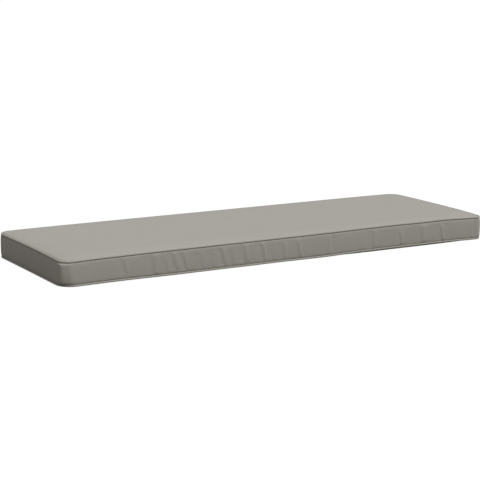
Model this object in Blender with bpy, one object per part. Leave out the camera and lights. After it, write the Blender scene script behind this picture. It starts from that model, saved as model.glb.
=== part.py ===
"""Bench cushion: a box-edge seat cushion in plain woven cloth, with piped seams.

The filled cushion is one solid, and its upper and lower faces are the top and the
bottom panel. A boxing strip runs round its four sides, and a piping is sewn into the
seam above the strip and into the seam below it.

Metres, +Z up. The origin is the middle of the underside, the long side runs along X,
and the front is at -Y. An inset is measured inwards from the outermost plan outline.
"""

from collections import namedtuple
from math import cos, exp, hypot, pi, radians, sin

import bmesh
import bpy
from mathutils import Vector

# Overall size.
LENGTH = 1.500
DEPTH = 0.500
EDGE_HEIGHT = 0.079
CROWN_RISE = 0.006

# Pieces.
PIPING_RADIUS = 0.0035
CLOTH_THICKNESS = 0.0016
FLOOR_CLEARANCE = 0.0004

# Unevenness of the sewn edges: how far the long sides draw in between their corners, and
# how far along a side the sinking of a corner and across it a swell of the front is felt.
SIDE_PULL_IN = 0.002
CORNER_DROOP_REACH = 0.090
SWELL_DEPTH = 0.060

# How finely the pieces are divided.
CORNER_STEPS = 8
LONG_SIDE_STEPS = 24
SHORT_SIDE_STEPS = 8
PIPING_RESOLUTION = 2
LEAST_LINE_SPACING = 0.0022

# The height and the inset of each piping's middle, and the height of the boxing strip's
# two edges. The lower piping sits a little under the strip.
UPPER_PIPING_HEIGHT = EDGE_HEIGHT - PIPING_RADIUS
LOWER_PIPING_HEIGHT = FLOOR_CLEARANCE + PIPING_RADIUS
UPPER_PIPING_INSET = PIPING_RADIUS
LOWER_PIPING_INSET = PIPING_RADIUS + 0.0012
SEAM_SETBACK = 0.0042
UPPER_SEAM = UPPER_PIPING_HEIGHT - SEAM_SETBACK
LOWER_SEAM = LOWER_PIPING_HEIGHT + SEAM_SETBACK

# The four plan corners, each the end of the side of the same number: where it stands, its
# radius at the upper and the lower seam, how far its upper seam sinks, and how strongly
# the strip folds there, from 0, round, to 1, flat with two bends.
Corner = namedtuple("Corner", "right back radius foot droop fold")
CORNERS = (
    Corner(1, 0, 0.026, 0.030, 0.0025, 0.2),
    Corner(1, 1, 0.036, 0.038, 0.0022, 0.3),
    Corner(0, 1, 0.039, 0.042, 0.0027, 0.3),
    Corner(0, 0, 0.040, 0.048, 0.0042, 0.8),
)
# How soon a corner's radius turns from the lower seam's to the upper seam's.
FOOT_POWER = 3
# The strip's flat at a folded corner: its turn from the side before it in degrees, how far
# it stands out from the arc, how sharp its bends are, and how soon it starts at a seam.
FLAT_TURN = 62
FLAT_RISE = 0.02
BEND_SHARPNESS = 20
FOLD_RISE = 0.06

# Where a seam of the front rises above its even line: place along X, rise and reach.
Swell = namedtuple("Swell", "x rise reach")
UPPER_SWELLS = (
    Swell(0.380, 0.0022, 0.180),
    Swell(0.590, 0.0017, 0.060),
    Swell(0.715, -0.0006, 0.035),
)
LOWER_SWELLS = (
    Swell(-0.560, 0.0014, 0.130),
    Swell(-0.040, 0.0009, 0.090),
)

# Creases of the boxing strip. Each is a trough with a ridge behind it: where the flank
# between them stands along the side's walk, how far it leans and bows from its top to its
# foot, the shares of the strip's height between which it runs, its width (negative where
# the ridge comes first), and the depths of the trough and the ridge.
Crease = namedtuple("Crease", "along lean bow low high width trough ridge")
FRONT_CREASES = (
    Crease(-0.553, 0.009, 0.000, 0.22, 0.90, 0.0055, 0.00058, 0.00065),
    Crease(-0.462, 0.002, 0.000, 0.10, 0.86, 0.0088, 0.00048, 0.00065),
    Crease(-0.420, 0.006, 0.000, 0.08, 0.56, 0.0055, 0.00038, 0.00030),
    Crease(-0.390, 0.024, -0.002, 0.16, 0.88, 0.0066, 0.00082, 0.00090),
    Crease(-0.358, 0.018, 0.000, 0.14, 0.84, 0.0055, 0.00072, 0.00065),
    Crease(-0.307, 0.002, 0.000, 0.08, 0.56, 0.0077, 0.00038, 0.00025),
    Crease(-0.268, 0.000, 0.000, 0.10, 0.80, 0.0099, 0.00024, 0.00030),
    Crease(-0.231, 0.018, 0.001, 0.18, 0.88, 0.0055, 0.00082, 0.00085),
    Crease(-0.202, 0.026, 0.000, 0.10, 0.62, 0.0050, 0.00048, 0.00040),
    Crease(-0.158, 0.006, 0.000, 0.18, 0.92, 0.0050, 0.00077, 0.00070),
    Crease(-0.095, 0.024, 0.005, 0.12, 0.88, 0.0055, 0.00072, 0.00085),
    Crease(-0.063, 0.000, 0.000, 0.22, 0.72, 0.0044, 0.00034, 0.00025),
    Crease(-0.021, 0.000, 0.000, 0.32, 0.66, 0.0050, 0.00048, 0.00040),
    Crease(0.031, 0.018, 0.003, 0.10, 0.90, 0.0061, 0.00067, 0.00095),
    Crease(0.147, 0.002, 0.000, 0.06, 0.42, 0.0066, 0.00038, 0.00020),
    Crease(0.162, 0.002, 0.000, 0.12, 0.90, -0.0044, 0.00043, 0.00040),
    Crease(0.247, 0.000, 0.000, 0.06, 0.50, 0.0099, 0.00029, 0.00020),
    Crease(0.313, 0.002, 0.000, 0.05, 0.78, 0.0088, 0.00048, 0.00040),
    Crease(0.420, 0.005, 0.001, 0.10, 0.80, 0.0046, 0.00082, 0.00075),
    Crease(0.506, 0.002, 0.000, 0.12, 0.88, 0.0077, 0.00053, 0.00060),
    Crease(0.580, 0.012, -0.003, 0.04, 0.88, 0.0046, 0.00101, 0.00100),
    Crease(0.702, 0.000, 0.000, 0.30, 0.80, 0.0066, 0.00019, 0.00030),
)
RIGHT_CREASES = (
    Crease(-0.160, 0.004, 0.000, 0.20, 0.80, 0.0066, 0.00038, 0.00030),
    Crease(0.110, -0.004, 0.000, 0.20, 0.80, 0.0066, 0.00038, 0.00030),
)
BACK_CREASES = (
    Crease(-0.520, 0.010, 0.001, 0.16, 0.84, 0.0061, 0.00067, 0.00060),
    Crease(-0.330, 0.002, 0.000, 0.14, 0.80, 0.0077, 0.00048, 0.00040),
    Crease(-0.120, 0.016, 0.002, 0.18, 0.88, 0.0055, 0.00077, 0.00070),
    Crease(0.090, -0.006, 0.000, 0.12, 0.70, 0.0072, 0.00048, 0.00040),
    Crease(0.290, 0.012, -0.001, 0.16, 0.86, 0.0061, 0.00067, 0.00065),
    Crease(0.510, 0.000, 0.000, 0.20, 0.80, 0.0077, 0.00038, 0.00030),
)
LEFT_CREASES = ()
# A crease fades out over these shares of the height, past its ends and towards a seam.
CREASE_FADE = 0.08
SEAM_FADE = 0.14
# How many widths the ridge stands behind the trough, and the lines that draw one crease,
# in widths from the flank between them.
RIDGE_OFFSET = 1.7
CREASE_LINES = (-2.2, -0.85, 0.85, 2.2)

# The four sides, walked anticlockwise from the front. Each has its outward and walking
# directions, half of the cushion's reach in each of them, the steps that divide the
# side, its creases, and the corners that it starts and ends with.
Side = namedtuple("Side", "outward walk half_across half_along steps creases before after")
RIGHTWARD = Vector((1, 0, 0))
BACKWARD = Vector((0, 1, 0))
FRONT_RIGHT, BACK_RIGHT, BACK_LEFT, FRONT_LEFT = CORNERS
LONG_SIDE = (DEPTH / 2, LENGTH / 2, LONG_SIDE_STEPS)
SHORT_SIDE = (LENGTH / 2, DEPTH / 2, SHORT_SIDE_STEPS)
SIDES = (
    Side(-BACKWARD, RIGHTWARD, *LONG_SIDE, FRONT_CREASES, FRONT_LEFT, FRONT_RIGHT),
    Side(RIGHTWARD, BACKWARD, *SHORT_SIDE, RIGHT_CREASES, FRONT_RIGHT, BACK_RIGHT),
    Side(BACKWARD, -RIGHTWARD, *LONG_SIDE, BACK_CREASES, BACK_RIGHT, BACK_LEFT),
    Side(-RIGHTWARD, -BACKWARD, *SHORT_SIDE, LEFT_CREASES, BACK_LEFT, FRONT_LEFT),
)

# A place on the outline: its side, its share of the straight stretch from -1 to 1 and its
# turn round the corner that follows. One on a crease has the crease instead of a share,
# and how many of its widths the place is from it.
Station = namedtuple("Station", "side share turn crease widths", defaults=(None, 0.0))

# The strip's section: share of the height between its edges, and inset of its outer face.
BoxingRow = namedtuple("BoxingRow", "share inset")
BOXING_ROWS = (
    BoxingRow(0.000, 0.0028),
    BoxingRow(0.020, 0.0016),
    BoxingRow(0.060, 0.0010),
    BoxingRow(0.180, 0.0004),
    BoxingRow(0.500, 0.0002),
    BoxingRow(0.820, 0.0004),
    BoxingRow(0.940, 0.0010),
    BoxingRow(0.980, 0.0016),
    BoxingRow(1.000, 0.0028),
)

# The filled cushion's section, from the underside up to the crown: inset, height, and
# the shares of the upper and the lower edge's unevenness that each row takes up.
BodyRow = namedtuple("BodyRow", "inset height upper lower")
BODY_ROWS = (
    BodyRow(0.0220, 0.0000, 0.0, 0.0),
    BodyRow(0.0140, 0.0007, 0.0, 0.6),
    BodyRow(0.0104, 0.0020, 0.0, 0.9),
    BodyRow(0.0086, LOWER_PIPING_HEIGHT, 0.0, 1.0),
    BodyRow(0.0094, 0.0085, 0.0, 1.0),
    BodyRow(0.0064, 0.0170, 0.2, 0.8),
    BodyRow(0.0058, 0.0400, 0.5, 0.5),
    BodyRow(0.0064, 0.0620, 0.8, 0.2),
    BodyRow(0.0086, 0.0705, 1.0, 0.0),
    BodyRow(0.0074, UPPER_PIPING_HEIGHT, 1.0, 0.0),
    BodyRow(0.0078, 0.0776, 1.0, 0.0),
    BodyRow(0.0086, 0.0792, 1.0, 0.0),
    BodyRow(0.0100, 0.0801, 0.9, 0.0),
    BodyRow(0.0190, 0.0810, 0.8, 0.0),
    BodyRow(0.0340, 0.0820, 0.6, 0.0),
    BodyRow(0.0600, 0.0834, 0.3, 0.0),
    BodyRow(0.0900, 0.0845, 0.1, 0.0),
    BodyRow(0.1200, EDGE_HEIGHT + CROWN_RISE, 0.0, 0.0),
)
# Contour lines of the crown grow rounder at their corners as they move inwards.
CONTOUR_RADIUS = 0.014
CONTOUR_GROWTH = 0.4

# Cloth colours, in linear light, and roughness.
PANEL_COLOUR = (0.355, 0.345, 0.312, 1.0)
BOXING_COLOUR = (0.345, 0.335, 0.302, 1.0)
PIPING_COLOUR = (0.365, 0.355, 0.320, 1.0)
CLOTH_ROUGHNESS = 0.9


def contour_radius(corner, inset, level):
    """Radius of a corner of the plan outline, at an inset and a level from 0 to 1."""
    radius = corner.radius + (corner.foot - corner.radius) * (1 - level) ** FOOT_POWER
    return max(radius - inset, CONTOUR_RADIUS + CONTOUR_GROWTH * inset)


def straight_ends(side, inset, level):
    """Where the straight stretch of a side starts and ends along its walk."""
    start = contour_radius(side.before, inset, level) + inset - side.half_along
    end = side.half_along - inset - contour_radius(side.after, inset, level)
    return start, end


def crease_path(crease, share):
    """Where a crease's flank stands along its side at a share of the strip's height."""
    return crease.along + crease.lean * (0.5 - share) + crease.bow * (1 - (2 * share - 1) ** 2)


def place_along(station, inset, level):
    """Distance of a station along its side's walk, at an inset and a level."""
    if station.crease:
        return crease_path(station.crease, level) + station.widths * abs(station.crease.width)
    start, end = straight_ends(station.side, inset, level)
    return start + (station.share + 1) / 2 * (end - start)


def outward_at(station):
    """The outline's outward direction at a station."""
    return station.side.outward * cos(station.turn) + station.side.walk * sin(station.turn)


def outline_point(station, inset, level):
    """The point of the plan outline at a station, an inset and a level, at height 0."""
    side = station.side
    radius = contour_radius(side.after, inset, level)
    start, end = straight_ends(side, inset, level)
    along = place_along(station, inset, level)
    share = 2 * (along - start) / (end - start) - 1
    pull_in = SIDE_PULL_IN * side.half_along / (LENGTH / 2) * (1 - share ** 2)
    across = side.half_across - inset - radius - pull_in
    return side.outward * across + side.walk * along + outward_at(station) * radius


def swell_at(point, swells):
    """Rise of a front seam at a point, fading out away from the front."""
    nearness = exp(-((point.y + DEPTH / 2) / SWELL_DEPTH) ** 2)
    return nearness * sum(s.rise * exp(-((point.x - s.x) / s.reach) ** 2) for s in swells)


def upper_lift(point):
    """How far the upper seam stands above its even height: corners sink, the front swells."""
    distance = hypot(LENGTH / 2 - abs(point.x), DEPTH / 2 - abs(point.y))
    right = point.x / LENGTH + 0.5
    back = point.y / DEPTH + 0.5
    droop = 0.0
    for corner in CORNERS:
        share = (right if corner.right else 1 - right) * (back if corner.back else 1 - back)
        droop += corner.droop * share
    return swell_at(point, UPPER_SWELLS) - droop * exp(-distance / CORNER_DROOP_REACH)


def lower_lift(point):
    """How far the lower seam stands above its even height."""
    return swell_at(point, LOWER_SWELLS)


def even_stations(side):
    """A side's stations, evenly spaced, from its first end to just before its last."""
    shares = [2 * step / side.steps - 1 for step in range(side.steps)]
    return [Station(side, share, 0.0) for share in shares]


def corner_stations(side):
    """Stations round the corner that follows a side, but for the next side's first."""
    turns = [pi / 2 * step / CORNER_STEPS for step in range(CORNER_STEPS)]
    return [Station(side, 1.0, turn) for turn in turns]


def mid_place(station):
    """Distance of a station along its side, half way up the strip."""
    return place_along(station, 0.0, 0.5)


def crease_stations(side):
    """Lines along the creases of a side, and even stations on its plain stretches."""
    lines = [Station(side, 0.0, 0.0, crease, w) for crease in side.creases for w in CREASE_LINES]
    first, *others = even_stations(side)
    spacing = side.half_along / side.steps
    for station in others:
        if all(abs(mid_place(line) - mid_place(station)) > spacing for line in lines):
            lines.append(station)
    return spaced_out([first] + sorted(lines, key=mid_place))


def spaced_out(lines):
    """The lines that stay clear of the one before them over the strip's whole height."""
    kept = [lines[0]]
    for line in lines[1:]:
        runs = [
            place_along(line, 0.0, row.share) - place_along(kept[-1], 0.0, row.share)
            for row in BOXING_ROWS
        ]
        if min(runs) > LEAST_LINE_SPACING:
            kept.append(line)
    return kept


def all_round(side_stations):
    """Stations round the whole outline, with the corners after each side's own."""
    stations = []
    for side in SIDES:
        stations += side_stations(side) + corner_stations(side)
    return stations


def crease_relief(side, along, share):
    """Inward depth of the creases at a place on the strip, negative on a ridge."""
    depth = 0.0
    for crease in side.creases:
        widths = (along - crease_path(crease, share)) / crease.width
        trough = crease.trough * exp(-(widths + RIDGE_OFFSET / 2) ** 2)
        ridge = crease.ridge * exp(-(widths - RIDGE_OFFSET / 2) ** 2)
        depth += (trough - ridge) * crease_strength(crease, share)
    return depth


def crease_strength(crease, share):
    """How strong a crease is at a share of the height: full between its ends, then fading."""
    beyond = max(crease.low - share, share - crease.high, 0.0)
    from_seam = min(share, 1 - share)
    return exp(-(beyond / CREASE_FADE) ** 2) * min(1.0, from_seam / SEAM_FADE)


def corner_relief(corner, turn, share):
    """Inward depth of the strip at a corner, negative where its two bends stand out."""
    flats = ((0.0, 1.0), (radians(FLAT_TURN), 1 + FLAT_RISE), (pi / 2, 1.0))
    nearness = 0.0
    for flat_turn, reach in flats:
        nearness += (max(cos(turn - flat_turn), 0.0) / reach) ** BEND_SHARPNESS
    stand_out = nearness ** (-1 / BEND_SHARPNESS) - 1
    rise = 1 - exp(-min(share, 1 - share) / FOLD_RISE)
    return -corner.fold * stand_out * corner.radius * rise


def boxing_point(station, row, thickness):
    """A point of the strip, on its outer face or a thickness behind it."""
    side = station.side
    if station.turn > 0.0:
        relief = corner_relief(side.after, station.turn, row.share)
    else:
        relief = crease_relief(side, place_along(station, 0.0, row.share), row.share)
    low = LOWER_SEAM + lower_lift(outline_point(station, LOWER_PIPING_INSET, 0.0))
    high = UPPER_SEAM + upper_lift(outline_point(station, UPPER_PIPING_INSET, 1.0))
    point = outline_point(station, row.inset + thickness + relief, row.share)
    point.z = low + row.share * (high - low)
    return point


def body_point(station, row):
    """A point of the filled cushion on one row of its section."""
    level = (row.height - LOWER_PIPING_HEIGHT) / (UPPER_PIPING_HEIGHT - LOWER_PIPING_HEIGHT)
    point = outline_point(station, row.inset, min(max(level, 0.0), 1.0))
    upper = upper_lift(outline_point(station, UPPER_PIPING_INSET, 1.0))
    lower = lower_lift(outline_point(station, LOWER_PIPING_INSET, 0.0))
    point.z = row.height + row.upper * upper + row.lower * lower
    return point


def piping_path(height, inset, level, lift):
    """The route of a piping's middle, round the outline at its seam."""
    points = []
    for station in all_round(even_stations):
        point = outline_point(station, inset, level)
        point.z = height + lift(point)
        points.append(point)
    return points


def cloth(name, colour):
    """A matt woven cloth."""
    material = bpy.data.materials.new(name)
    material.use_nodes = True
    shader = material.node_tree.nodes["Principled BSDF"]
    shader.inputs["Base Color"].default_value = colour
    shader.inputs["Roughness"].default_value = CLOTH_ROUGHNESS
    shader.inputs["Metallic"].default_value = 0.0
    material.diffuse_color = colour
    return material


def finish_mesh(name, mesh_data, material):
    """Turn a bmesh into a named object with one material."""
    bmesh.ops.recalc_face_normals(mesh_data, faces=mesh_data.faces)
    mesh = bpy.data.meshes.new(name)
    mesh_data.to_mesh(mesh)
    mesh_data.free()
    mesh.shade_smooth()
    mesh.materials.append(material)
    piece = bpy.data.objects.new(name, mesh)
    bpy.context.scene.collection.objects.link(piece)
    return piece


def bridge(mesh_data, first, second):
    """Faces between two closed rings of equal length."""
    count = len(first)
    for index in range(count):
        following = (index + 1) % count
        mesh_data.faces.new((first[index], first[following], second[following], second[index]))


def make_cushion():
    """The filled cushion: rings up its section, closed by two flat faces."""
    mesh_data = bmesh.new()
    stations = all_round(even_stations)
    rings = [[mesh_data.verts.new(body_point(s, row)) for s in stations] for row in BODY_ROWS]
    for lower, upper in zip(rings, rings[1:]):
        bridge(mesh_data, lower, upper)
    mesh_data.faces.new(reversed(rings[0]))
    mesh_data.faces.new(rings[-1])
    return finish_mesh("cushion", mesh_data, cloth("panel_cloth", PANEL_COLOUR))


def make_boxing():
    """The boxing strip: its outer face, its inner face and its two edges, all in one loop."""
    mesh_data = bmesh.new()
    stations = all_round(crease_stations)
    section = [(row, 0.0) for row in BOXING_ROWS]
    section += [(row, CLOTH_THICKNESS) for row in reversed(BOXING_ROWS)]
    rings = []
    for row, thickness in section:
        rings.append([mesh_data.verts.new(boxing_point(s, row, thickness)) for s in stations])
    for first, second in zip(rings, rings[1:] + rings[:1]):
        bridge(mesh_data, first, second)
    return finish_mesh("boxing", mesh_data, cloth("boxing_cloth", BOXING_COLOUR))


def make_piping(name, path):
    """A piping: a round tube that closes on itself."""
    curve = bpy.data.curves.new(name, "CURVE")
    curve.dimensions = "3D"
    curve.bevel_depth = PIPING_RADIUS
    curve.bevel_resolution = PIPING_RESOLUTION
    spline = curve.splines.new("POLY")
    spline.points.add(len(path) - 1)
    for target, point in zip(spline.points, path):
        target.co = (*point, 1.0)
    spline.use_cyclic_u = True
    spline.use_smooth = True
    curve.materials.append(cloth(name + "_cloth", PIPING_COLOUR))
    piece = bpy.data.objects.new(name, curve)
    bpy.context.scene.collection.objects.link(piece)
    return piece


def main():
    """Empty the scene and build the four pieces."""
    for leftover in list(bpy.data.objects):
        bpy.data.objects.remove(leftover, do_unlink=True)
    make_cushion()
    make_boxing()
    make_piping("top_piping", piping_path(UPPER_PIPING_HEIGHT, UPPER_PIPING_INSET, 1.0, upper_lift))
    make_piping("bottom_piping", piping_path(LOWER_PIPING_HEIGHT, LOWER_PIPING_INSET, 0.0, lower_lift))


main()
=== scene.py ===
"""Bench cushion in plain woven cloth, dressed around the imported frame.

A filled cushion with a crowned top panel lies on a pale studio floor. A creased boxing
strip runs round its sides, and a covered cord is sewn into its upper and lower seams.
Metres, +Z up, the long side along X and the front at -Y. An inset is measured inwards
from the outermost plan outline. Heights are measured from the floor.
"""

import math
from collections import namedtuple

import bpy
import numpy as np
from bpy.props import FloatProperty, FloatVectorProperty, IntProperty, PointerProperty
from mathutils import Matrix, Vector


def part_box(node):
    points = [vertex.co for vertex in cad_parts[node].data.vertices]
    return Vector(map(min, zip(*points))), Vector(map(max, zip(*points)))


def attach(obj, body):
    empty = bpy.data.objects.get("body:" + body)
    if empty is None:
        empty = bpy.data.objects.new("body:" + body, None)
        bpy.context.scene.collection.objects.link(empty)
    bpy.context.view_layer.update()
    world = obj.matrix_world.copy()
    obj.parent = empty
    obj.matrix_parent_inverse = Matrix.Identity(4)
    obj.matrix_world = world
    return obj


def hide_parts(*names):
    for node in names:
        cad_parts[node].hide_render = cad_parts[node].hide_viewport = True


bl_info = {
    "name": "Bench Cushion",
    "version": (1, 0, 0),
    "blender": (4, 5, 0),
    "location": "3D View > Sidebar > Cushion",
    "description": "Piped box-edge bench cushion in plain woven cloth",
    "category": "Add Mesh",
}

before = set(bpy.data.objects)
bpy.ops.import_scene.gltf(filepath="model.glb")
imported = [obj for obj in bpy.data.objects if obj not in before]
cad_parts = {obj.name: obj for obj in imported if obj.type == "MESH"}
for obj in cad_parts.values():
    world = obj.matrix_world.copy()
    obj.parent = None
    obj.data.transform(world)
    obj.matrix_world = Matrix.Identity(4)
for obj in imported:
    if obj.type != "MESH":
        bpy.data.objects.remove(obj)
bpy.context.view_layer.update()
UPPER_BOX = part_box("top_piping")
LOWER_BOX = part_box("bottom_piping")
SEAM_SIZE = UPPER_BOX[1] - UPPER_BOX[0]
BODY = "root"

MM = 0.001
SEED = 7
# A length that keeps a division from being by 0.
TINY = 1e-9

# Outward and walking directions of the four sides, anticlockwise from the front.
OUTWARD = np.array([(0, -1), (1, 0), (0, 1), (-1, 0)], float)
WALK = np.array([(1, 0), (0, 1), (-1, 0), (0, -1)], float)
FRONT, RIGHT, BACK, LEFT = range(4)

# The four plan corners: where each stands, its radius at the upper and the lower seam, how
# far its upper seam sinks and how strongly the strip folds there. Each ends the side of
# the same number.
Corner = namedtuple("Corner", "right back radius foot droop fold")
CORNERS = (
    Corner(1, 0, 0.028, 0.028, 2.5 * MM, 0.2),
    Corner(1, 1, 0.036, 0.038, 2.2 * MM, 0.3),
    Corner(0, 1, 0.039, 0.039, 2.0 * MM, 0.3),
    Corner(0, 0, 0.040, 0.048, 4.2 * MM, 0.88),
)
FOLDS = np.array([corner.fold for corner in CORNERS])
RADII = np.array([corner.radius for corner in CORNERS])
FEET = np.array([corner.foot for corner in CORNERS])
CORNER_ZONE = 0.054
# How soon a corner's radius turns from the lower seam's to the upper seam's.
FOOT_POWER = 3

# Stretches of a seam that rise or sink: middle along X, rise and reach.
Swell = namedtuple("Swell", "x rise reach")
UPPER_SWELLS = (
    Swell(0.380, 2.2 * MM, 0.180),
    Swell(0.590, 1.7 * MM, 0.060),
    Swell(0.715, -0.6 * MM, 0.035),
    Swell(0.748, -1.5 * MM, 0.018),
)
LOWER_SWELLS = (
    Swell(-0.560, 1.4 * MM, 0.130),
    Swell(-0.250, 0.6 * MM, 0.100),
    Swell(-0.040, 0.9 * MM, 0.090),
)
# How far in from the front they are felt.
SWELL_DEPTH = 0.060
# Where the lower piping rides up on the bottom panel's rolled edge, which shows beneath it,
# how evenly it does so along that stretch, and how much tighter the strip sits on it there.
LOWER_LIP = Swell(0.430, 3.0 * MM, 0.240)
LIP_EVENNESS = 6
LIP_PINCH = 0.6 * MM

# Creases of the boxing strip. Each is a trough with a ridge behind it: where the flank
# between them stands along the side's walk, how far it leans and bows from its top to its
# foot, how far its head hooks back, the shares of the height between which it runs, and in
# millimetres its width (negative where the ridge comes first) and the depth of its trough
# and of its ridge.
Crease = namedtuple("Crease", "side along lean bow hook low high width trough ridge")
CREASES = (
    Crease(FRONT, -0.555, 0.009, 0, 0, 0.34, 0.92, 5.8, 0.85, 0.85),
    Crease(FRONT, -0.462, 0.002, 0, 0, 0.10, 0.88, 8.0, 0.75, 1.30),
    Crease(FRONT, -0.420, 0.006, 0, 0, 0.10, 0.60, 6.0, 0.50, 0.40),
    Crease(FRONT, -0.391, 0.018, -0.002, 0, 0.24, 0.88, 6.6, 0.85, 1.10),
    Crease(FRONT, -0.361, 0.012, 0, 0, 0.16, 0.78, 5.8, 0.95, 0.80),
    Crease(FRONT, -0.305, 0.010, 0, 0, 0.08, 0.70, 7.7, 0.70, 0.40),
    Crease(FRONT, -0.266, 0, 0, 0, 0.10, 0.80, 8.0, 0.45, 0.35),
    Crease(FRONT, -0.232, 0.015, 0.001, 0, 0.18, 0.80, 6.0, 1.10, 1.00),
    Crease(FRONT, -0.201, 0.012, 0, 0, 0.10, 0.66, 6.5, 0.65, 0.50),
    Crease(FRONT, -0.158, 0.004, 0, 0, 0.24, 0.94, 7.0, 1.05, 1.35),
    Crease(FRONT, -0.096, 0.014, 0.003, 0, 0.14, 0.88, 5.5, 0.80, 1.15),
    Crease(FRONT, -0.060, 0.004, 0, 0, 0.22, 0.72, 5.0, 0.40, 0.25),
    Crease(FRONT, -0.020, 0.002, 0, 0, 0.15, 0.72, 5.8, 0.55, 0.95),
    Crease(FRONT, 0.030, 0.017, 0.003, 0, 0.10, 0.90, 6.1, 0.12, 1.25),
    Crease(FRONT, 0.153, 0.002, 0, 0, 0.10, 0.88, -6.5, 0.80, 0.50),
    Crease(FRONT, 0.262, 0, 0, 0, 0.06, 0.50, 9.9, 0.25, 0.35),
    Crease(FRONT, 0.310, 0.002, 0, 0, 0.05, 0.80, 8.0, 0.70, 0.65),
    Crease(FRONT, 0.416, 0.004, 0.001, 0.036, 0.10, 0.82, 5.2, 0.45, 1.70),
    Crease(FRONT, 0.500, 0.002, 0, 0, 0.12, 0.86, 9.6, 0.42, 1.70),
    Crease(FRONT, 0.579, 0.006, -0.003, 0, 0.04, 0.74, 5.4, 0.80, 1.50),
    Crease(FRONT, 0.613, 0.004, 0, 0, 0.20, 0.85, 6.0, 0.30, 0.20),
    Crease(FRONT, 0.706, 0, 0, 0, 0.15, 0.90, -4.5, 0.45, 0.25),
    Crease(FRONT, 0.719, 0.002, 0, 0, 0.06, 0.94, 3.2, 0.45, 0.40),
    Crease(RIGHT, -0.160, 0.004, 0, 0, 0.20, 0.80, 6.6, 0.38, 0.30),
    Crease(RIGHT, 0.110, -0.004, 0, 0, 0.20, 0.80, 6.6, 0.38, 0.30),
    Crease(BACK, -0.520, 0.010, 0.001, 0, 0.16, 0.84, 6.1, 0.67, 0.60),
    Crease(BACK, -0.330, 0.002, 0, 0, 0.14, 0.80, 7.7, 0.48, 0.40),
    Crease(BACK, -0.120, 0.016, 0.002, 0, 0.18, 0.88, 5.5, 0.77, 0.70),
    Crease(BACK, 0.090, -0.006, 0, 0, 0.12, 0.70, 7.2, 0.48, 0.40),
    Crease(BACK, 0.290, 0.012, -0.001, 0, 0.16, 0.86, 6.1, 0.67, 0.65),
    Crease(BACK, 0.510, 0, 0, 0, 0.20, 0.80, 7.7, 0.38, 0.30),
)
# How many widths a ridge stands behind its trough.
RIDGE_OFFSET = 1.7
# How many times wider than the flank between them the other walls of trough and ridge are.
TROUGH_LEAD = 2.4
RIDGE_LAG = 1.25
# Shares of the height over which a crease fades past its ends and near the seams, and the
# step by which its slope is found.
CREASE_FADE = 0.08
SEAM_FADE = 0.14
SLOPE_STEP = 0.01
# Shares of the height between which a crease's head hooks back, and the strip's height.
HOOK_START, HOOK_END = 0.60, 0.80
STRIP_HEIGHT = 0.066


# ---------------------------------------------------------------- settings


def length_setting(name, description, default):
    """A length in metres that a user may change."""
    return FloatProperty(name=name, description=description, default=default, unit="LENGTH")


def angle_setting(name, description, degrees):
    """An angle that a user may change."""
    return FloatProperty(name=name, description=description, default=math.radians(degrees), subtype="ANGLE")


def number_setting(name, description, default, **limits):
    """A plain number that a user may change."""
    return FloatProperty(name=name, description=description, default=default, **limits)


def count_setting(name, description, default):
    """A whole number that a user may change."""
    return IntProperty(name=name, description=description, default=default)


def colour_setting(name, description, default):
    """A colour in linear light that a user may change."""
    return FloatVectorProperty(name=name, description=description, default=default, subtype="COLOR")


class CushionSizes(bpy.types.PropertyGroup):
    """Sizes of the cushion and of its sewing."""

    length: length_setting("Length", "Length over the piping", SEAM_SIZE.x)
    depth: length_setting("Depth", "Depth over the piping", SEAM_SIZE.y)
    edge_height: length_setting("Edge height", "Height of the upper piping's top", 0.0798)
    piping_radius: length_setting("Piping radius", "Radius of the covered cord", 0.0035)
    piping_wave: length_setting("Piping wave", "Unevenness of the piping's cover", 0.00012)
    floor_gap: length_setting("Floor gap", "Lowest point of the lower piping", LOWER_BOX[0].z)
    crown: length_setting("Crown", "Rise of the top panel's middle before it swells", 0.0012)
    swell: length_setting("Swell", "Most that the filling may push the top panel out", 0.0026)
    pull_in: length_setting("Pull-in", "How far the long sides draw in between corners", 0.002)
    droop_reach: length_setting("Droop reach", "How far along a side the droop is felt", 0.090)
    cloth_thickness: length_setting("Cloth thickness", "Thickness of the boxing strip", 0.0014)
    panel_step: length_setting("Panel step", "Spacing of the top panel's threads of mesh", 0.012)
    strip_step: length_setting("Strip step", "Spacing of the boxing strip's mesh on the front", 0.0026)
    strip_rows: count_setting("Strip rows", "Rows of mesh up the boxing strip", 25)
    piping_sides: count_setting("Piping sides", "Flats round the covered cord", 16)
    yarn_pitch: length_setting("Yarn pitch", "Distance between neighbouring yarns", 0.0011)
    stitch_pitch: length_setting("Stitch pitch", "Distance between stitches", 0.0042)
    stitch_length: length_setting("Stitch length", "Length of one stitch", 0.0032)
    thread_radius: length_setting("Thread radius", "Radius of the sewing thread", 0.00028)


class CushionColours(bpy.types.PropertyGroup):
    """Colours and roughness of the cloth and the thread."""

    panel: colour_setting("Panel cloth", "Colour of the top and bottom panels", (0.348, 0.331, 0.302))
    boxing: colour_setting("Boxing cloth", "Colour of the boxing strip", (0.351, 0.334, 0.311))
    piping: colour_setting("Piping cloth", "Colour of the piping's cover", (0.352, 0.335, 0.305))
    thread: colour_setting("Thread", "Colour of the sewing thread", (0.330, 0.312, 0.282))
    roughness: number_setting("Roughness", "Roughness of the cloth", 0.88, min=0, max=1)


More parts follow.
